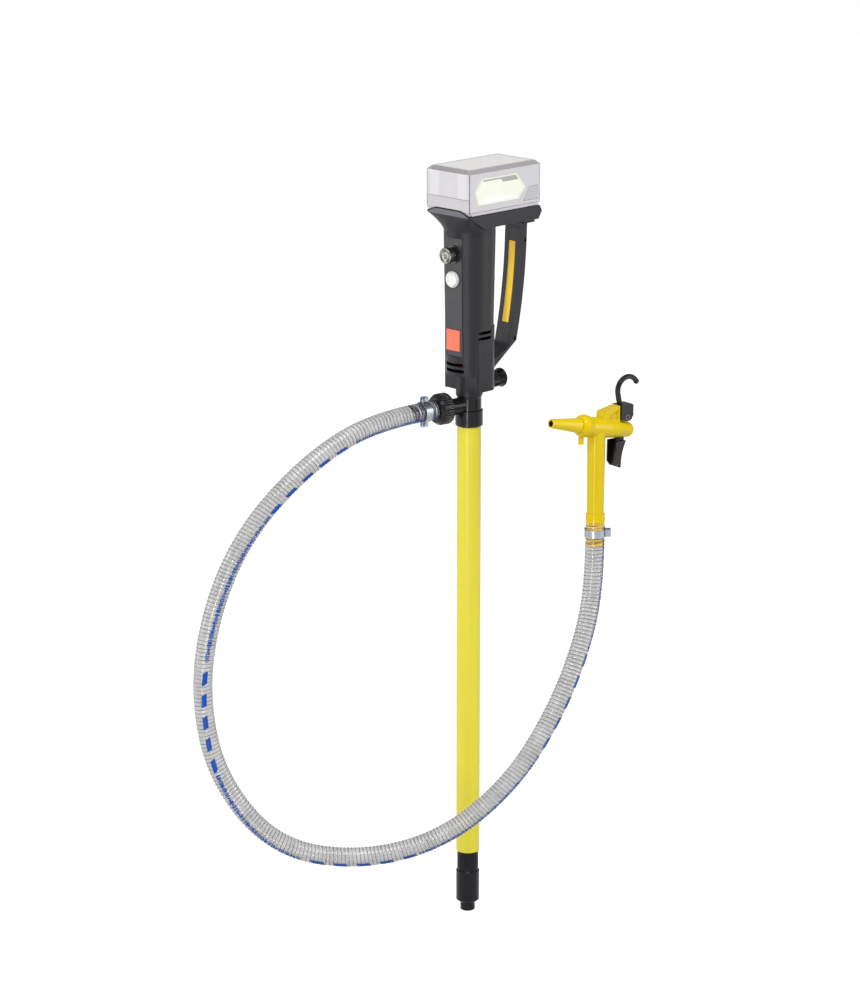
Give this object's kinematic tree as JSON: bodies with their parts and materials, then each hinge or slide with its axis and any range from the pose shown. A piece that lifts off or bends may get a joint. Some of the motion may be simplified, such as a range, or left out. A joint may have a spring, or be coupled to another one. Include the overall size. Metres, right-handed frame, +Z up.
{
  "type": "battery drum pump",
  "caption": "Battery drum pump: motor head with closed handle and slide-on battery, straight dip tube with foot, and a clear hose to a trigger nozzle with a hanging hook.",
  "frame": {"origin": "on the dip tube axis at the bottom face of the tube collar", "axes": "+Z up along the dip tube; the control panel faces -Y and the handle is at +Y"},
  "size_m": [0.3111, 0.5333, 1.029],
  "materials": {
    "housing": "fine moulded texture",
    "panel": "satin moulded plate",
    "badge": "plain coloured plate",
    "insert": "soft satin strip",
    "knob": "bright cap over a black skirt",
    "button": "gloss",
    "black": "gloss",
    "foot": "gloss",
    "tube": "smooth extruded",
    "board": "solder resist",
    "electric": "moulded",
    "steel": "brushed",
    "shaft": "ground",
    "can": "zinc plated",
    "magnet": "ferrite",
    "winding": "enamelled copper",
    "moulded": "moulded",
    "bush": "natural",
    "seal": "rubber",
    "hose": "clear with a steel helix",
    "clamp": "bright zinc",
    "contact": "plated",
    "pack": "satin, pale",
    "pack_foot": "satin, pale",
    "label": "plain label",
    "gauge": "satin",
    "cell": "sleeved",
    "release": "satin",
    "nozzle": "gloss",
    "trigger": "satin",
    "bolt": "blackened"
  },
  "bodies": {
    "pump": {"housing_left": "housing", "housing_right": "housing", "control_panel": "panel", "badge_plate": "badge", "grip_insert": "insert", "housing_screws": "steel", "nozzle_peg": "black", "knob_base": "black", "button_ring": "button", "switch_body": "electric", "potentiometer": "electric", "control_board": "board", "motor_can": "can", "motor_end_cap": "moulded", "motor_magnets": "magnet", "motor_bearings": "steel", "shaft_bushes": "bush", "shaft_seal": "seal", "neck_bearing": "steel", "outlet_tee": "black", "tube_collar": "black", "pump_tube": "tube", "foot_body": "foot", "foot_sleeve": "foot", "outlet_washer": "seal", "hose_tail": "black", "outlet_clamp": "clamp", "hose": "hose", "battery_deck": "housing", "terminal_block": "moulded", "terminal_blades": "contact", "nozzle_body": "nozzle", "nozzle_spout": "nozzle", "nozzle_tail": "nozzle", "nozzle_clamp": "clamp", "trigger_pin": "bolt", "hook_bolt": "bolt", "valve_seat": "moulded", "valve_guide": "moulded"},
    "battery": {"battery_base": "pack_foot", "battery_cover": "pack", "battery_cells": "cell", "battery_labels": "label", "battery_gauge": "gauge", "battery_contacts": "contact"},
    "release_left": {"release_button_left": "release"},
    "release_right": {"release_button_right": "release"},
    "knob": {"speed_knob": "knob"},
    "button": {"power_button": "button"},
    "rotor": {"motor_shaft": "shaft", "armature": "winding", "motor_fan": "moulded", "drive_dog": "moulded"},
    "pump_shaft": {"driven_dog": "moulded", "drive_shaft": "shaft", "impeller": "moulded"},
    "union": {"union_nut": "black"},
    "trigger_body": {"trigger": "trigger"},
    "valve": {"valve_stem": "shaft"},
    "hook": {"nozzle_hook": "trigger"}
  },
  "joints": [
    {"name": "battery_slide", "type": "slide", "parent": "pump", "child": "battery", "axis": [0, -1, 0], "range_m": [0, 0.14]},
    {"name": "release_left_press", "type": "slide", "parent": "battery", "child": "release_left", "axis": [1, 0, 0], "range_m": [0, 0.0025], "stiffness_N_per_m": 600, "springref_m": -0.002},
    {"name": "release_right_press", "type": "slide", "parent": "battery", "child": "release_right", "axis": [-1, 0, 0], "range_m": [0, 0.0025], "stiffness_N_per_m": 600, "springref_m": -0.002},
    {"name": "speed_turn", "type": "hinge", "parent": "pump", "child": "knob", "pos_m": [0, -0.04, 0.233], "axis": [0, 1, 0], "range_deg": [0, 270]},
    {"name": "power_press", "type": "slide", "parent": "pump", "child": "button", "axis": [0, 1, 0], "range_m": [0, 0.0025], "stiffness_N_per_m": 500, "springref_m": -0.002},
    {"name": "rotor_spin", "type": "hinge", "parent": "pump", "child": "rotor", "pos_m": [0, 0, 0.14], "axis": [0, 0, 1], "continuous": true},
    {"name": "shaft_spin", "type": "hinge", "parent": "pump", "child": "pump_shaft", "pos_m": [0, 0, 0], "axis": [0, 0, 1], "continuous": true},
    {"name": "union_turn", "type": "hinge", "parent": "pump", "child": "union", "pos_m": [-0.00781, -0.04432, 0.028], "axis": [-0.1736, -0.9848, 0], "continuous": true},
    {"name": "trigger_pull", "type": "hinge", "parent": "pump", "child": "trigger_body", "pos_m": [0.17403, 0.1024, 0.0047], "axis": [-0.9925, 0.1219, 0], "range_deg": [0, 14], "stiffness_Nm_per_rad": 1.2, "springref_deg": -20.05},
    {"name": "valve_slide", "type": "slide", "parent": "pump", "child": "valve", "axis": [-0.1192, -0.9709, 0.2079], "range_m": [0, 0.0026]},
    {"name": "hook_swing", "type": "hinge", "parent": "pump", "child": "hook", "pos_m": [0.17477, 0.10846, 0.0237], "axis": [-0.9925, 0.1219, 0], "range_deg": [0, 45]}
  ],
  "couplings": [
    {"joint": "shaft_spin", "follows": "rotor_spin", "ratio": 1},
    {"joint": "valve_slide", "follows": "trigger_pull", "m_per_rad": 0.0098}
  ]
}
